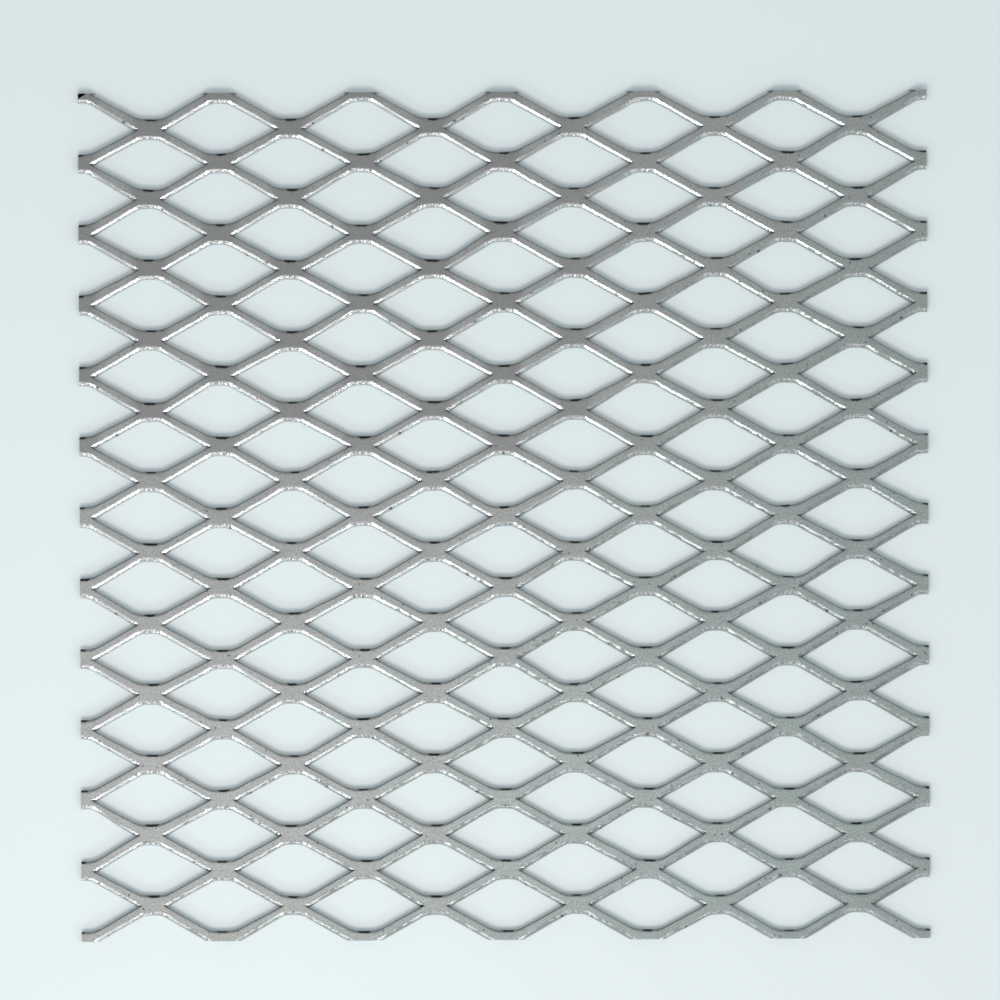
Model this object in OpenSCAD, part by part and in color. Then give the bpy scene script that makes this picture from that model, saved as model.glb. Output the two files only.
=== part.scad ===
// Flattened expanded metal sheet, cut along its knuckle lines.
//
// The sheet lies flat on z = 0 with the centre of its middle knuckle above the
// origin. X runs the long way of the diamonds and Y the short way. Each opening
// was slit, stretched and rolled flat, so its sheared walls lean towards +Y as
// they rise: seen from above, every strand shows the wall on its -Y side.

/* [Sheet] */
// Whole diamonds across the sheet, the long way
diamonds_across = 6; // [2:1:12]
// Whole diamonds along the sheet, the short way
diamonds_along = 12; // [2:1:24]
// Thickness of the sheet after flattening
thickness = 2.03; // [1:0.01:3.2]

/* [Diamond] */
// Long way of the diamond, from knuckle centre to knuckle centre
long_pitch = 50.8; // [44:0.1:62]
// Short way of the diamond, from knuckle centre to knuckle centre
short_pitch = 25.4; // [21:0.1:31]
// Width of one strand, half the height of a knuckle
strand_width = 2.8; // [1.5:0.01:3.5]
// Length of a knuckle between the sharp corners beside it
knuckle_length = 8; // [5:0.1:11]

/* [Blunt corners] */
// Straight length that the die's tooth leaves at an opening's +Y corner
upper_flat = 3.2; // [1:0.1:5]
// Radius that joins this flat to the strands
upper_radius = 5; // [2:0.1:8]
// Straight length at the opening's -Y corner
lower_flat = 4.2; // [2:0.1:7]
// Radius that joins this flat to the strands
lower_radius = 10; // [6:0.1:12]
// Distance that the opening's sharp corners sit towards -Y from the middle between its flats
tip_offset = 0.7; // [0:0.01:1]

/* [Sheared walls] */
// Lean of the sheared walls from upright, in degrees
wall_lean = 37; // [0:1:40]

/* [Hidden] */

// Straight steps along the arc on each side of a blunt corner
arc_steps = 2;
// Length that a cutter stands out past each face of the sheet
cutter_overrun = 1;

sheet_size = [diamonds_across * long_pitch, diamonds_along * short_pitch];

// Half of the opening's length, and its height above and below the line of its sharp corners
opening_reach = (long_pitch - knuckle_length) / 2;
upper_rise = short_pitch / 2 - strand_width + tip_offset;
lower_rise = short_pitch / 2 - strand_width - tip_offset;

// Points along the arc at a blunt corner, from the strand to the flat. The strand
// leaves the tip of the sharp corner and touches the arc.
function blunt_arc(flat, radius, rise) =
    let (centre = [flat / 2, rise - radius],
        tip_to_centre = [opening_reach - centre[0], centre[1]],
        slope = atan2(tip_to_centre[1], tip_to_centre[0]) + asin(radius / norm(tip_to_centre)))
    [for (k = [0 : arc_steps])
        let (heading = 90 - slope * (1 - k / arc_steps))
        centre + radius * [cos(heading), sin(heading)]];
upper_arc = blunt_arc(upper_flat, upper_radius, upper_rise);
lower_arc = blunt_arc(lower_flat, lower_radius, lower_rise);

function reversed(points) = [for (k = [len(points) - 1 : -1 : 0]) points[k]];
function scaled(points, sx, sy) = [for (p = points) [p[0] * sx, p[1] * sy]];

// The opening's outline on a face of the sheet, and seen square to its leaning walls
outline = concat(
    [[opening_reach, 0]], upper_arc, reversed(scaled(upper_arc, -1, 1)),
    [[-opening_reach, 0]], scaled(lower_arc, -1, -1), reversed(scaled(lower_arc, 1, -1)));
square_outline = scaled(outline, 1, cos(wall_lean));

cutter_length = thickness / cos(wall_lean) + 2 * upper_rise * sin(wall_lean) + 2 * cutter_overrun;

module opening_cutter() {
    rotate([-wall_lean, 0, 0])
        linear_extrude(height = cutter_length, center = true)
            polygon(square_outline);
}

// Openings and knuckles take turns on a grid of half pitches, with a knuckle in the middle
module expanded_sheet() {
    color("#98a09e")
        difference() {
            translate([-sheet_size[0] / 2, -sheet_size[1] / 2, 0])
                cube([sheet_size[0], sheet_size[1], thickness]);
            for (i = [-diamonds_across : diamonds_across], j = [-diamonds_along : diamonds_along])
                if ((i + j) % 2 != 0)
                    translate([i * long_pitch / 2, j * short_pitch / 2 - tip_offset, thickness / 2])
                        opening_cutter();
        }
}

expanded_sheet();
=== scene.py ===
"""Looks of a flattened expanded metal sheet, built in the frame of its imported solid."""

import math

import bmesh
import bpy
import numpy as np
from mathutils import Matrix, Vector


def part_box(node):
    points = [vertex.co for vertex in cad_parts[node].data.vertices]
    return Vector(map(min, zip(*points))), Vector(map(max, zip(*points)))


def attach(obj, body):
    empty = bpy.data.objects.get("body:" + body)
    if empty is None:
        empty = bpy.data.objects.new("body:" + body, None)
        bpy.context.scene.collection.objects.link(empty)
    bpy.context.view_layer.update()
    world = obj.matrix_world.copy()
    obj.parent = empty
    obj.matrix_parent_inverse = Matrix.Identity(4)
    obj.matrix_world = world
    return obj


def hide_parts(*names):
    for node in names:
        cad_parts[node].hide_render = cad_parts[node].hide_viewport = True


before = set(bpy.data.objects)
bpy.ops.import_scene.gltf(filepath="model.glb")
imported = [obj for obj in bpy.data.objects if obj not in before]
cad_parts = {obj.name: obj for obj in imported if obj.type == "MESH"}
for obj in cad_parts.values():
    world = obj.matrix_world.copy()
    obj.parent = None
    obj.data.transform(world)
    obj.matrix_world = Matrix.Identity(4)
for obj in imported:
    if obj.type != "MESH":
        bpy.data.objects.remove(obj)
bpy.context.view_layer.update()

# Sizes, in metres. The sheet's own size comes from the frame. The diamond repeats the part's source, with its
# blunt corners a little rounder and its sharp ones rounded.
MM = 0.001
DIAMONDS_ACROSS = 6
DIAMONDS_ALONG = 12
STRAND_WIDTH = 2.8 * MM
KNUCKLE_LENGTH = 8 * MM
UPPER_FLAT = 2.4 * MM
UPPER_RADIUS = 6 * MM
LOWER_FLAT = 3 * MM
LOWER_RADIUS = 12 * MM
TIP_OFFSET = 0.7 * MM
SHARP_RADIUS = 0.25 * MM
WALL_LEAN = math.radians(37)

sheet_low, sheet_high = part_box("expanded_sheet")
thickness = sheet_high.z - sheet_low.z
half_long = (sheet_high.x - sheet_low.x) / DIAMONDS_ACROSS / 2
half_short = (sheet_high.y - sheet_low.y) / DIAMONDS_ALONG / 2
opening_reach = half_long - KNUCKLE_LENGTH / 2
upper_rise = half_short - STRAND_WIDTH + TIP_OFFSET
lower_rise = half_short - STRAND_WIDTH - TIP_OFFSET
wall_shift = thickness * math.tan(WALL_LEAN)

# Steps along a quarter of an opening's outline: round its sharp tip and as many over the blunt corner that
# lies beside the next opening's tip, and along the strand between them
CORNER_STEPS = 7
STRAND_STEPS = 12
# Rings of points in the patch round an opening: five down its wall, and the cell's edge above and below them
WALL_RINGS = 5
PATCH_RINGS = WALL_RINGS + 2

# How far the stretching left things out of true
KNUCKLE_STRAY = 0.18 * MM
ROW_STRAY = 0.2 * MM
CORNER_STRAY = 0.12 * MM
CORNER_TILT = math.radians(1.6)

rng = np.random.default_rng(13)


def smooth(low, high, value):
    """0 at low, 1 at high, and a soft ramp between."""
    t = np.clip((value - low) / (high - low), 0, 1)
    return t * t * (3 - 2 * t)


def quarter_outline(flat, radius, rise):
    """Points and outward normals from an opening's sharp tip to the middle of a blunt flat."""
    to_centre = np.array([opening_reach - flat / 2, rise - radius])
    slope = math.atan2(to_centre[1], to_centre[0]) + math.asin(radius / np.hypot(*to_centre))
    tip_centre = np.array([opening_reach - SHARP_RADIUS / math.sin(slope), 0])
    tip_heads = np.linspace(0, math.pi / 2 - slope, CORNER_STEPS + 1)
    tip = tip_centre + SHARP_RADIUS * np.column_stack([np.cos(tip_heads), np.sin(tip_heads)])

    next_tip = half_long - tip[-1, 0]
    x = np.concatenate([np.linspace(tip[-1, 0], next_tip, STRAND_STEPS + 1)[1:],
                        np.linspace(next_tip, 0, CORNER_STEPS + 1)[1:]])
    turn = np.arcsin(np.clip((x - flat / 2) / radius, 0, math.sin(slope)))
    arc_end = flat / 2 + radius * math.sin(slope)
    y = rise - radius * (1 - np.cos(turn)) - np.maximum(x - arc_end, 0) * math.tan(slope)

    points = np.concatenate([tip, np.column_stack([x, y])])
    heads = np.concatenate([tip_heads, math.pi / 2 - turn])
    return points, np.column_stack([np.cos(heads), np.sin(heads)])


def whole_outline():
    """Once round an opening, anticlockwise from its right tip: points, outward normals, the points on the
    cell's edge that belong to them, and these points again on the straight line between the knuckles."""
    upper, upper_normals = quarter_outline(UPPER_FLAT, UPPER_RADIUS, upper_rise)
    lower, lower_normals = quarter_outline(LOWER_FLAT, LOWER_RADIUS, lower_rise)

    # A cell's edge runs along the middle of a strand, halfway between this outline and the next one's, and
    # ends in the knuckles' centres
    cell_corner = np.array([half_long, half_short])
    next_outline = cell_corner - lower[::-1]
    middle = (upper + next_outline)[CORNER_STEPS:-CORNER_STEPS] / 2 - [0, TIP_OFFSET]
    upper_edge = np.concatenate([np.linspace([half_long, 0], middle[0], CORNER_STEPS + 1)[:-1], middle,
                                 np.linspace(middle[-1], [0, half_short], CORNER_STEPS + 1)[1:]])
    upper_straight = np.column_stack([upper_edge[:, 0], half_short * (1 - upper_edge[:, 0] / half_long)])

    rounds = []
    for over, under in ((upper, lower), (upper_normals, lower_normals),
                        (upper_edge, (cell_corner - upper_edge)[::-1]),
                        (upper_straight, (cell_corner - upper_straight)[::-1])):
        rounds.append(np.concatenate([
            over[:-1], over[:0:-1] * [-1, 1], under[:-1] * [-1, -1], under[:0:-1] * [1, -1]]))
    rounds[0] = rounds[0] - [0, TIP_OFFSET]
    return rounds


outline, outline_normals, cell_edge, straight_edge = whole_outline()
around = len(outline)

# How much of the wall shows from above, and how blunt the corner is, at each point of the outline
shows = smooth(-0.35, 0.35, outline_normals[:, 1])
blunt = smooth(0.88, 0.995, np.abs(outline_normals[:, 1]))

# Stray of each knuckle from the true grid. The border stays true, because the sheet is cut there.
columns = np.arange(-DIAMONDS_ACROSS - 2, DIAMONDS_ACROSS + 3)
rows = np.arange(-DIAMONDS_ALONG - 2, DIAMONDS_ALONG + 3)
stray = rng.normal(0, KNUCKLE_STRAY, (len(columns), len(rows), 2))
stray[:, :, 0] += rng.normal(0, ROW_STRAY, len(rows))
stray[np.abs(columns) >= DIAMONDS_ACROSS] = 0
stray[:, np.abs(rows) >= DIAMONDS_ALONG] = 0


def strayed(points, column, row):
    """Cell points moved with the four knuckles at the cell's corners."""
    p = points[:, 0] / half_long + points[:, 1] / half_short
    q = points[:, 0] / half_long - points[:, 1] / half_short
    i, j = column - columns[0], row - rows[0]
    moved = points + [column * half_long, row * half_short]
    for weight, at in (((1 + p) * (1 + q), (i + 1, j)), ((1 + p) * (1 - q), (i, j + 1)),
                       ((1 - p) * (1 - q), (i - 1, j)), ((1 - p) * (1 + q), (i, j - 1))):
        moved = moved + weight[:, None] / 4 * stray[at]
    return moved


# Section across a wall that shows from above, from the rolled face down: distance out from the top edge,
# towards -Y, and depth below the face. The first point lies on the face, this far in from the edge.
FACE_MARGIN = 0.55 * MM
SHOWN_OUT = np.array([0, -0.33, -0.25, 0.88, wall_shift / MM]) * MM
SHOWN_DOWN = np.array([0, 0.02, 0.1, 0.81, thickness / MM]) * MM
# How much further out the top edge lies on a knuckle, and how much further in the foot on a strand
KNUCKLE_OUT = 0.35 * MM
STRAND_IN = 0.1 * MM
# Radius of the rolled-over edge on the other side of a strand, and of a knuckle
STRAND_ROLL = 0.45 * MM
KNUCKLE_ROLL = 0.95 * MM
# Beads that the die's tooth tore along a knuckle's wall
BEAD_PITCH = 1.25 * MM
BEAD_SIZE = 0.14 * MM
# Half length of the black mark along a knuckle's rolled edge, partly black scale and partly painted shade,
# and how far its middle lies to the right
LIP_REACH = 3 * MM
LIP_SHIFT = 0.3 * MM
LIP_STRAY = 0.4 * MM
# The distance along a strand over which a knuckle's own look fades, with its painted shade and the painted
# highlights on its beads
FADE_START = 4 * MM
FADE_END = 9 * MM


def wall_rings(points):
    """Five rings of points from the top face's margin, over the edge and down to the underside."""
    top = points + [0, wall_shift / 2]
    roll = STRAND_ROLL + (KNUCKLE_ROLL - STRAND_ROLL) * blunt
    # At each ring, the roll's share in from the edge and down from the face, and the share of the wall's lean
    rolled_in = np.array([1, 0.29, 0, 0, 0])
    rolled_down = np.array([0, 0.29, 1, 1, 1])
    lean_share = np.array([0, 0, 0, 0.5, 1])

    phase = rng.uniform(0, 2 * math.pi, 2)
    across = outline[:, 0] / BEAD_PITCH * 2 * math.pi
    bead = np.sin(across + phase[0] + 1.3 * np.sin(across / 2.6 + phase[1]))
    bead_reach = BEAD_SIZE * bead * blunt * np.array([0, 0, 0.3, 1, 0])[:, None]

    knuckle_out = KNUCKLE_OUT * blunt
    narrower = 1 - (knuckle_out + STRAND_IN * (1 - blunt)) / wall_shift
    rings = []
    for ring in range(WALL_RINGS):
        out = knuckle_out + SHOWN_OUT[ring] * narrower + bead_reach[ring]
        shown = top - np.outer(out, [0, 1])
        if ring == 0:
            shown = top + outline_normals * FACE_MARGIN - np.outer(knuckle_out, [0, 1])
        shown_z = np.full(around, thickness - SHOWN_DOWN[ring])

        hidden = top + outline_normals * (roll * rolled_in[ring])[:, None]
        hidden = hidden - [0, lean_share[ring] * wall_shift]
        hidden_z = thickness - roll * rolled_down[ring] - (thickness - roll) * lean_share[ring]

        flat = shown * shows[:, None] + hidden * (1 - shows)[:, None]
        height = shown_z * shows + hidden_z * (1 - shows)
        rings.append(np.column_stack([flat, height]))
    return rings


def corner_stray():
    """The outline with its two blunt corners each pushed a little out of place and tilted."""
    moved = outline.copy()
    for side, rise in ((1, upper_rise), (-1, lower_rise)):
        near = smooth(0.3, 1, side * (outline[:, 1] + TIP_OFFSET) / rise)
        push = rng.normal(0, CORNER_STRAY, 2)
        tilt = math.tan(rng.normal(0, CORNER_TILT))
        moved += near[:, None] * push
        moved[:, 1] += near * outline[:, 0] * tilt
    return moved


def lip_mark():
    """The black mark along a knuckle's rolled edge, partly black scale and partly painted shade, of uneven
    length and place.
    """
    middle = rng.normal(LIP_SHIFT, LIP_STRAY)
    reach = LIP_REACH * rng.uniform(0.8, 1.15)
    strength = rng.uniform(0.75, 1.1)
    ends = smooth(0.35 * reach, 1.2 * reach, np.abs(outline[:, 0] - middle))
    return (1 - shows) * (1 - ends) * strength


def sheet_mesh():
    """The sheet's surface: one ring-shaped patch round each opening, joined along the strands' middles."""
    verts, faces, edge_verts = [], [], []
    marks = {"wall": [], "depth": [], "roll": [], "lip": [], "knuckle": []}
    # How strongly each ring of a wall carries a mark
    wall_shares = np.array([0, 0.5, 1, 1, 1])
    depth_shares = np.array([0, 0, 0, 1, 2])
    # The painted shade of a rolled edge reaches down the undercut wall below it
    roll_shares = np.array([0.1, 0.8, 1, 0.4, 0.3])
    lip_shares = np.array([0.45, 1, 1, 0.2, 0])
    none = np.zeros(around)
    # Painted shade: the dark line on a rolled edge and on the undercut wall below it, fainter on the flats,
    # and stronger at the right of an opening
    painted_edge_shadow = (1 - shows) * (1 - 0.3 * blunt) * (0.95 + 0.3 * outline_normals[:, 0])
    from_corner = np.abs(cell_edge[:, 0])
    near_knuckle = (smooth(FADE_END, FADE_START, from_corner)
                    + smooth(FADE_END, FADE_START, half_long - from_corner))
    step = np.arange(around)
    after = np.roll(step, -1)
    leaning = np.array([0, wall_shift / 2])
    for column in columns[1:-1]:
        for row in rows[1:-1]:
            if (column + row) % 2 == 0:
                continue
            start = len(verts) * around
            edge = strayed(straight_edge, column, row) + cell_edge - straight_edge
            rings = wall_rings(strayed(corner_stray(), column, row))
            lip = lip_mark()
            verts.append(np.column_stack([edge + leaning, np.full(around, thickness)]))
            verts.extend(rings)
            verts.append(np.column_stack([edge - leaning, none]))
            marks["wall"].extend([none, *(share * shows for share in wall_shares), none])
            marks["roll"].extend([none, *(share * painted_edge_shadow for share in roll_shares), none])
            marks["lip"].extend([none, *(share * lip for share in lip_shares), none])
            marks["depth"].extend([none, *(share * shows for share in depth_shares), none])
            marks["knuckle"].extend([near_knuckle] * PATCH_RINGS)
            edge_verts.extend([start + step, start + (PATCH_RINGS - 1) * around + step])
            for ring in range(PATCH_RINGS - 1):
                this, below = start + ring * around, start + (ring + 1) * around
                faces.append(np.column_stack([this + step, this + after, below + after, below + step]))
    marks = {name: np.concatenate(values) for name, values in marks.items()}
    return np.concatenate(verts), np.concatenate(faces), np.concatenate(edge_verts), marks


def trim_to_sheet(bm):
    """Cuts the patches that pass the sheet's edges, and closes the cut knuckles."""
    for axis, limit, way in ((0, sheet_low.x, -1), (0, sheet_high.x, 1),
                             (1, sheet_low.y, -1), (1, sheet_high.y, 1)):
        on_plane, out = [0, 0, 0], [0, 0, 0]
        on_plane[axis], out[axis] = limit, way
        bmesh.ops.bisect_plane(bm, geom=bm.verts[:] + bm.edges[:] + bm.faces[:], dist=1e-7,
                               plane_co=on_plane, plane_no=out, clear_outer=True)
    filled = bmesh.ops.holes_fill(bm, edges=[e for e in bm.edges if e.is_boundary], sides=0)
    for face in filled["faces"]:
        face.normal_update()
        if face.normal.dot(face.calc_center_median()) < 0:
            face.normal_flip()
        for edge in face.edges:
            edge.smooth = False


def sharp_edges(mesh):
    """Marks the edges round the underside, and those above and below the smooth zone of a wall that shows."""
    ends = np.empty(2 * len(mesh.edges), dtype=int)
    mesh.edges.foreach_get("vertices", ends)
    ends = ends.reshape(-1, 2)
    ring = ends // around % PATCH_RINGS
    same_ring = ring[:, 0] == ring[:, 1]
    zone_edge = np.isin(ring[:, 0], (WALL_RINGS - 2, WALL_RINGS - 1)) & (shows[ends[:, 0] % around] > 0.5)
    return same_ring & (zone_edge | (ring[:, 0] == WALL_RINGS))


def make_sheet():
    """The sheet as one closed mesh, with the marks that its material reads."""
    verts, faces, edge_verts, marks = sheet_mesh()
    mesh = bpy.data.meshes.new("sheet_surface")
    mesh.from_pydata(verts.tolist(), [], faces.tolist())
    for name, values in marks.items():
        mesh.attributes.new(name, "FLOAT", "POINT").data.foreach_set("value", values.astype(np.float32))
    mesh.attributes.new("sharp_edge", "BOOLEAN", "EDGE").data.foreach_set("value", sharp_edges(mesh))
    bm = bmesh.new()
    bm.from_mesh(mesh)
    bm.verts.ensure_lookup_table()
    bmesh.ops.remove_doubles(bm, verts=[bm.verts[k] for k in edge_verts], dist=1e-6)
    trim_to_sheet(bm)
    bm.to_mesh(mesh)
    bm.free()
    sheet = bpy.data.objects.new("sheet_surface", mesh)
    bpy.context.collection.objects.link(sheet)
    return sheet


# Materials. Colours of the rolled faces, of the sheared walls at the photograph's upper left and lower right,
# lighter at the upper left by painted light, of the painted shade on the edges, and of what lies on them
FACE = (0.59, 0.61, 0.585, 1)
FACE_FAR_RIGHT = (0.515, 0.615, 0.588, 1)
CLEAN_WALL_PAINTED_LIGHT = (0.37, 0.38, 0.38, 1)
CLEAN_WALL_PAINTED_LIGHT_RIGHT = (0.32, 0.35, 0.34, 1)
TORN_WALL = (0.265, 0.29, 0.285, 1)
WALL_FOOT_PAINTED_REFLECTION = (0.6, 0.61, 0.61, 1)
WALL_FOOT_PAINTED_REFLECTION_RIGHT = (0.42, 0.45, 0.445, 1)
ROLLED_EDGE_SHADOW = (0.11, 0.137, 0.143, 1)
RUST = (0.14, 0.095, 0.06, 1)
FLOOR_COLOUR = (0.80, 0.89, 0.915, 1)
FLOOR_SIZE = 40
FLOOR_GAP = 0.05 * MM


def node(tree, kind, settings=None, **inputs):
    """Adds a node. An input takes a value, or another node's output to link to."""
    made = tree.nodes.new(kind)
    for name, value in (settings or {}).items():
        setattr(made, name, value)
    for name, value in inputs.items():
        join(tree, value, made.inputs[name.replace("_", " ")])
    return made


def join(tree, value, socket):
    if isinstance(value, bpy.types.NodeSocket):
        tree.links.new(value, socket)
    else:
        socket.default_value = value


def maths(tree, operation, *values):
    made = tree.nodes.new("ShaderNodeMath")
    made.operation = operation
    for value, socket in zip(values, made.inputs):
        join(tree, value, socket)
    return made.outputs[0]


def mixed(tree, share, first, second):
    """Colour between two others."""
    made = tree.nodes.new("ShaderNodeMix")
    made.data_type = "RGBA"
    for value, socket in ((share, made.inputs[0]), (first, made.inputs[6]), (second, made.inputs[7])):
        join(tree, value, socket)
    return made.outputs[2]


def ramp(tree, value, low, high, to_low=0.0, to_high=1.0):
    """Value stretched from one range to another, and held at its ends."""
    made = node(tree, "ShaderNodeMapRange", {"interpolation_type": "SMOOTHSTEP"}, Value=value, From_Min=low,
                From_Max=high, To_Min=to_low, To_Max=to_high)
    return made.outputs["Result"]


def noise(tree, place, size, detail=2.0, rough=0.5):
    made = node(tree, "ShaderNodeTexNoise", Vector=place, Scale=1 / size, Detail=detail, Roughness=rough)
    return made.outputs["Fac"]


def mark(tree, name):
    return node(tree, "ShaderNodeAttribute", {"attribute_name": name}).outputs["Fac"]


def new_material(name):
    material = bpy.data.materials.new(name)
    material.use_nodes = True
    tree = material.node_tree
    tree.nodes.clear()
    return material, tree


def grey(level):
    return (level, level, level, 1)


def spots(tree, place, spacing, share, size):
    """Round spots scattered over the sheet: how far a point is inside one, and a random colour for each."""
    cells = node(tree, "ShaderNodeTexVoronoi", {"voronoi_dimensions": "2D"}, Vector=place, Scale=1 / spacing)
    chance = node(tree, "ShaderNodeSeparateColor", Color=cells.outputs["Color"])
    radius = maths(tree, "MULTIPLY", chance.outputs["Green"], size / spacing)
    inside = ramp(tree, maths(tree, "SUBTRACT", cells.outputs["Distance"], radius), -0.03, 0.03, 1, 0)
    chosen = maths(tree, "LESS_THAN", chance.outputs["Red"], share)
    return maths(tree, "MULTIPLY", inside, chosen), chance.outputs["Blue"]


def steel_material():
    material, tree = new_material("steel")
    place = tree.nodes.new("ShaderNodeTexCoord").outputs["Object"]
    wall = mark(tree, "wall")
    depth = mark(tree, "depth")

    # Wear grows from the photograph's upper left corner to its lower right one
    axes = node(tree, "ShaderNodeSeparateXYZ", Vector=place)
    wear = ramp(tree, maths(tree, "SUBTRACT", axes.outputs["X"], axes.outputs["Y"]), -140 * MM, 120 * MM)

    # The rolled face: matte grey, greener at the far right, darker on the upper left knuckles by painted
    # shade, grained
    along = maths(tree, "MULTIPLY_ADD", axes.outputs["Y"], -0.6, axes.outputs["X"])
    far_right = ramp(tree, along, -40 * MM, 160 * MM)
    face = mixed(tree, far_right, FACE, FACE_FAR_RIGHT)
    painted_knuckle_shadow = maths(tree, "MULTIPLY", ramp(tree, axes.outputs["Y"], 5 * MM, 35 * MM),
                 ramp(tree, axes.outputs["X"], 0, 70 * MM, 0.4, 0.08))
    face = mixed(tree, maths(tree, "MULTIPLY", painted_knuckle_shadow, mark(tree, "knuckle")), face, grey(0.145))
    drift = noise(tree, place, 14 * MM)
    face = mixed(tree, ramp(tree, drift, 0.35, 0.65, 0, 0.2), face, grey(0.36))
    grain = noise(tree, place, 0.7 * MM, detail=4, rough=0.7)
    face = mixed(tree, ramp(tree, grain, 0.35, 0.7, 0, 0.7), face, grey(0.29))

    # Pits of uneven shape, a few of them rusty
    warp = node(tree, "ShaderNodeTexNoise", Vector=place, Scale=1 / (0.5 * MM), Detail=2.0).outputs["Color"]
    warped = node(tree, "ShaderNodeVectorMath", {"operation": "MULTIPLY_ADD"})
    tree.links.new(warp, warped.inputs[0])
    warped.inputs[1].default_value = (0.5 * MM, 0.5 * MM, 0)
    tree.links.new(place, warped.inputs[2])
    uneven = warped.outputs["Vector"]
    pit, pit_kind = spots(tree, uneven, 2.6 * MM, ramp(tree, wear, 0, 1, 0.03, 0.2), 0.4 * MM)
    pit_colour = mixed(tree, ramp(tree, pit_kind, 0.86, 0.9), grey(0.08), RUST)
    face = mixed(tree, maths(tree, "MULTIPLY", pit, 0.75), face, pit_colour)

    # The sheared walls: brightest at the upper left, which is painted light, torn below a ragged line, pale
    # again at the foot, a painted reflection
    painted_light_fade = ramp(tree, along, -120 * MM, 90 * MM)
    tear = noise(tree, place, 1.8 * MM, detail=4, rough=0.6)
    tear = maths(tree, "MULTIPLY_ADD", noise(tree, place, 7 * MM), 0.5, tear)
    tear = maths(tree, "MULTIPLY_ADD", wear, 0.24, tear)
    torn = ramp(tree, maths(tree, "MULTIPLY_ADD", depth, 0.12, tear), 1.0, 1.12)
    clean = mixed(tree, painted_light_fade, CLEAN_WALL_PAINTED_LIGHT, CLEAN_WALL_PAINTED_LIGHT_RIGHT)
    bright = mixed(tree, torn, clean, TORN_WALL)
    # Painted highlights: white spots on the beads along a knuckle's wall, fainter towards the lower right
    bead = ramp(tree, noise(tree, place, 0.8 * MM), 0.46, 0.56)
    bead = maths(tree, "MULTIPLY", bead, ramp(tree, painted_light_fade, 0, 1, 0.95, 0.4))
    bright = mixed(tree, maths(tree, "MULTIPLY", bead, mark(tree, "knuckle")), bright, grey(0.85))
    # Painted reflection: the foot of a wall pale, paler towards the upper left
    foot = mixed(tree, painted_light_fade, WALL_FOOT_PAINTED_REFLECTION, WALL_FOOT_PAINTED_REFLECTION_RIGHT)
    bright = mixed(tree, ramp(tree, depth, 1, 1.3), bright, foot)
    flaw, flaw_kind = spots(tree, uneven, 3.4 * MM, 0.2, 0.7 * MM)
    flaw_colour = mixed(tree, ramp(tree, flaw_kind, 0.8, 0.85), grey(0.07), RUST)
    bright = mixed(tree, maths(tree, "MULTIPLY", flaw, 0.8), bright, flaw_colour)
    colour = mixed(tree, wall, face, bright)

    # Painted shade on the rolled-over edges and the undercut walls: dark along the strands; on the knuckles a
    # black mark, partly black scale and partly painted shade
    colour = mixed(tree, mark(tree, "roll"), colour, ROLLED_EDGE_SHADOW)
    ragged = maths(tree, "MULTIPLY_ADD", noise(tree, place, 0.8 * MM), 0.4, mark(tree, "lip"))
    ragged = maths(tree, "MULTIPLY_ADD", wear, -0.1, ragged)
    colour = mixed(tree, ramp(tree, ragged, 0.5, 0.85), colour, grey(0.03))

    shine = ramp(tree, torn, 0, 1, 0.3, 0.55)
    roughness = node(tree, "ShaderNodeMix", {"data_type": "FLOAT"}, Factor=wall, A=0.31, B=shine)
    relief = noise(tree, place, 0.35 * MM, detail=3)
    bump = node(tree, "ShaderNodeBump", Strength=0.2, Distance=0.05 * MM, Height=relief)
    shader = node(tree, "ShaderNodeBsdfPrincipled", Base_Color=colour, Metallic=1.0,
                  Roughness=roughness.outputs["Result"], Normal=bump.outputs["Normal"])
    node(tree, "ShaderNodeOutputMaterial", Surface=shader.outputs["BSDF"])
    return material


def floor_material():
    material, tree = new_material("floor")
    shader = node(tree, "ShaderNodeBsdfPrincipled", Base_Color=FLOOR_COLOUR, Roughness=0.9)
    shader.inputs["Specular IOR Level"].default_value = 0
    node(tree, "ShaderNodeOutputMaterial", Surface=shader.outputs["BSDF"])
    return material


sheet = make_sheet()
sheet.data.materials.append(steel_material())
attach(sheet, "root")
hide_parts("expanded_sheet")

# Floor, a hair below the sheet
floor_mesh = bpy.data.meshes.new("floor")
reach = FLOOR_SIZE / 2
floor_mesh.from_pydata([(-reach, -reach, 0), (reach, -reach, 0), (reach, reach, 0), (-reach, reach, 0)],
                       [], [(0, 1, 2, 3)])
floor = bpy.data.objects.new("floor", floor_mesh)
floor.location.z = sheet_low.z - FLOOR_GAP
floor_mesh.materials.append(floor_material())
bpy.context.collection.objects.link(floor)

# Light

def aim(thing, target):
    way = thing.location - target
    thing.rotation_euler = way.to_track_quat("Z", "Y").to_euler()


def from_side(azimuth, elevation, distance):
    """A place round the sheet. Azimuth 0 is towards -Y, the photograph's lower edge, and 90 towards +X."""
    a, e = math.radians(azimuth), math.radians(elevation)
    return Vector((math.sin(a) * math.cos(e), -math.cos(a) * math.cos(e), math.sin(e))) * distance


def lamp(name, kind, place, target, power, **settings):
    light = bpy.data.lights.new(name, kind)
    light.energy = power
    for setting, value in settings.items():
        setattr(light, setting, value)
    light_object = bpy.data.objects.new(name, light)
    light_object.location = place
    aim(light_object, target)
    light_object.visible_camera = False
    bpy.context.collection.objects.link(light_object)


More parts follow.
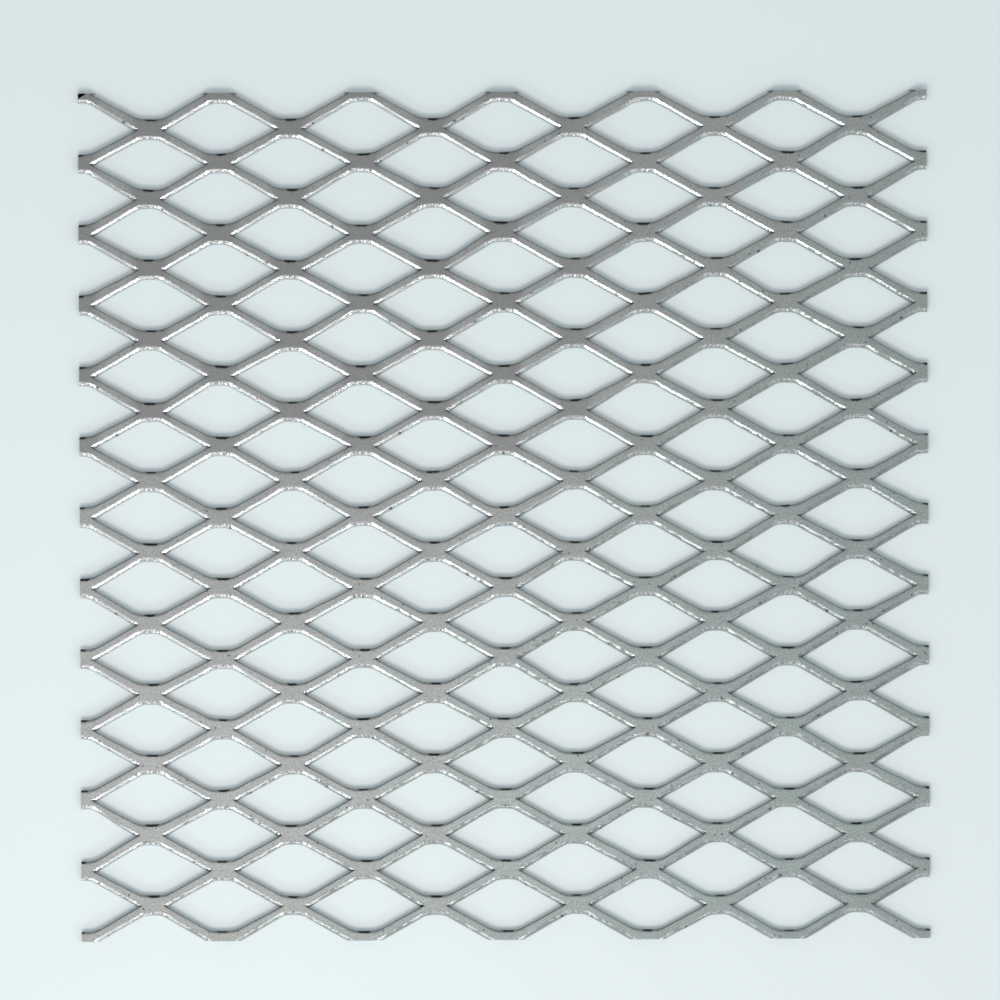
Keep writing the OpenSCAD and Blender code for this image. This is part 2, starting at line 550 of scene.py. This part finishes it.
# A soft, warm key from the lower edge, a weak lamp above the lower left corner that brightens the faces
# there, and two narrow ones far off that glint in the sheared walls
centre = Vector((0, 0, 0))
lower_left = Vector((-0.09, -0.12, 0))
lamp("key", "AREA", from_side(-8, 47, 1.6), centre, 9.0, shape="DISK", size=0.64, color=(1, 0.91, 0.86))
lamp("overhead", "AREA", lower_left + Vector((0, 0, 0.7)), lower_left, 0.11,
     shape="RECTANGLE", size=0.36, size_y=0.1)
lamp("glint_left", "SPOT", from_side(-28.5, 20, 3), Vector((-0.03, 0, 0)), 34,
     shadow_soft_size=0.1, spot_size=math.radians(9), spot_blend=1)
lamp("glint_right", "SPOT", from_side(28.5, 20, 3), Vector((-0.19, 0, 0)), 34,
     shadow_soft_size=0.1, spot_size=math.radians(8), spot_blend=1)

# A pale, slightly blue sky, stronger towards the photograph's lower edge and towards the horizon
SKY_LEVEL = 0.715
SKY_TILT = 0.2
SKY_DIP = 0.5
SKY_TINT = (0.97, 1, 1.015)
world = bpy.data.worlds.new("studio")
bpy.context.scene.world = world
world.use_nodes = True
sky = world.node_tree
sky.nodes.clear()
outward = sky.nodes.new("ShaderNodeTexCoord").outputs["Generated"]
direction = node(sky, "ShaderNodeSeparateXYZ", Vector=outward)
horizon_level = (1 + SKY_DIP / 2) * SKY_LEVEL
level = maths(sky, "MULTIPLY_ADD", direction.outputs["Z"], -SKY_DIP * SKY_LEVEL, horizon_level)
level = maths(sky, "MULTIPLY_ADD", direction.outputs["Y"], -SKY_TILT * SKY_LEVEL, level)
ambient = node(sky, "ShaderNodeVectorMath", {"operation": "SCALE"}, Scale=level)
ambient.inputs[0].default_value = SKY_TINT
background = node(sky, "ShaderNodeBackground", Color=ambient.outputs[0], Strength=1.0)
node(sky, "ShaderNodeOutputWorld", Surface=background.outputs["Background"])

# Camera, straight down. The photograph's scale and the place of the sheet's middle in it, in pixels.
PHOTO_SIZE = 1000
PIXEL = 0.3593 * MM
SHEET_MIDDLE = (503.9, 515.8)
PHOTO_ROLL = math.radians(0.27)
camera_data = bpy.data.cameras.new("camera")
camera_data.sensor_width = 36
camera_data.lens = 400
camera = bpy.data.objects.new("camera", camera_data)
view_height = PHOTO_SIZE * PIXEL * camera_data.lens / camera_data.sensor_width
camera.location = ((PHOTO_SIZE / 2 - SHEET_MIDDLE[0]) * PIXEL, (SHEET_MIDDLE[1] - PHOTO_SIZE / 2) * PIXEL,
                   view_height + thickness)
camera.rotation_euler = (0, 0, -PHOTO_ROLL)
camera_data.clip_end = 100
bpy.context.collection.objects.link(camera)
bpy.context.scene.camera = camera
bpy.context.scene.view_settings.view_transform = "Standard"
